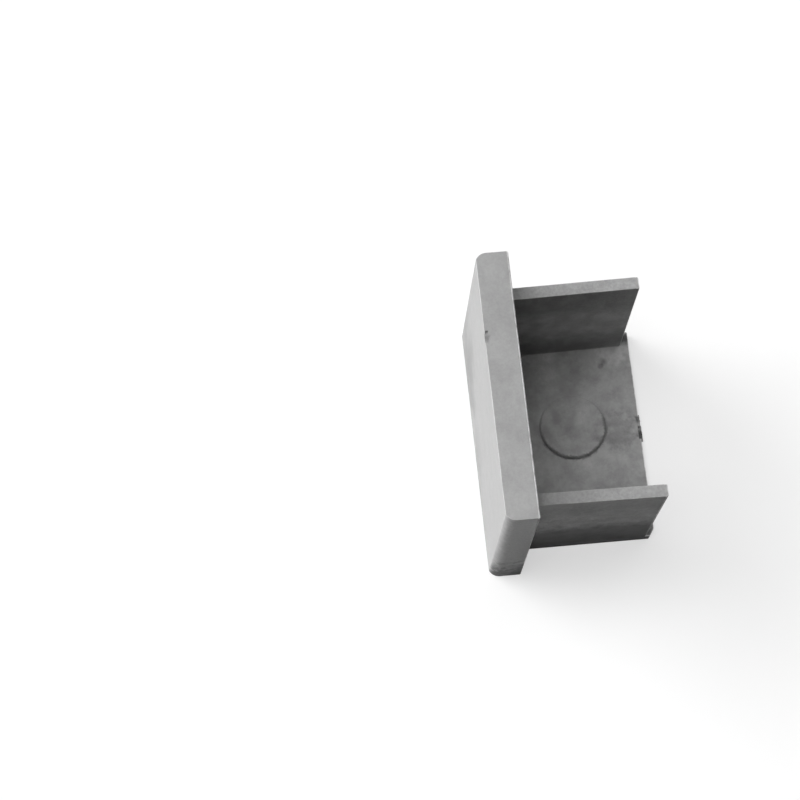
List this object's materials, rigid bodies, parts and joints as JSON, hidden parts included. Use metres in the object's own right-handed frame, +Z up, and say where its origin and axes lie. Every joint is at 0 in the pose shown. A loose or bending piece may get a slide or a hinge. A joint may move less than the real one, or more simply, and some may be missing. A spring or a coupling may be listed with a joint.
{
  "type": "profile end cap",
  "caption": "Moulded end cap for a hollow profile: a flange plate covers the cut end, and an open channel-shaped plug behind it pushes into the profile.",
  "frame": {"origin": "centre of the flange's back face, the face that seats on the profile's cut end", "axes": "+X runs along the plug, away from the flange; +Y runs along the flange's long side; +Z is up, and the plug is open that way"},
  "size_m": [0.0195, 0.03, 0.024],
  "materials": {
    "grey_plastic": "fine matt grain, as moulded"
  },
  "bodies": {
    "root": {"end_cap": "grey_plastic"}
  },
  "joints": []
}
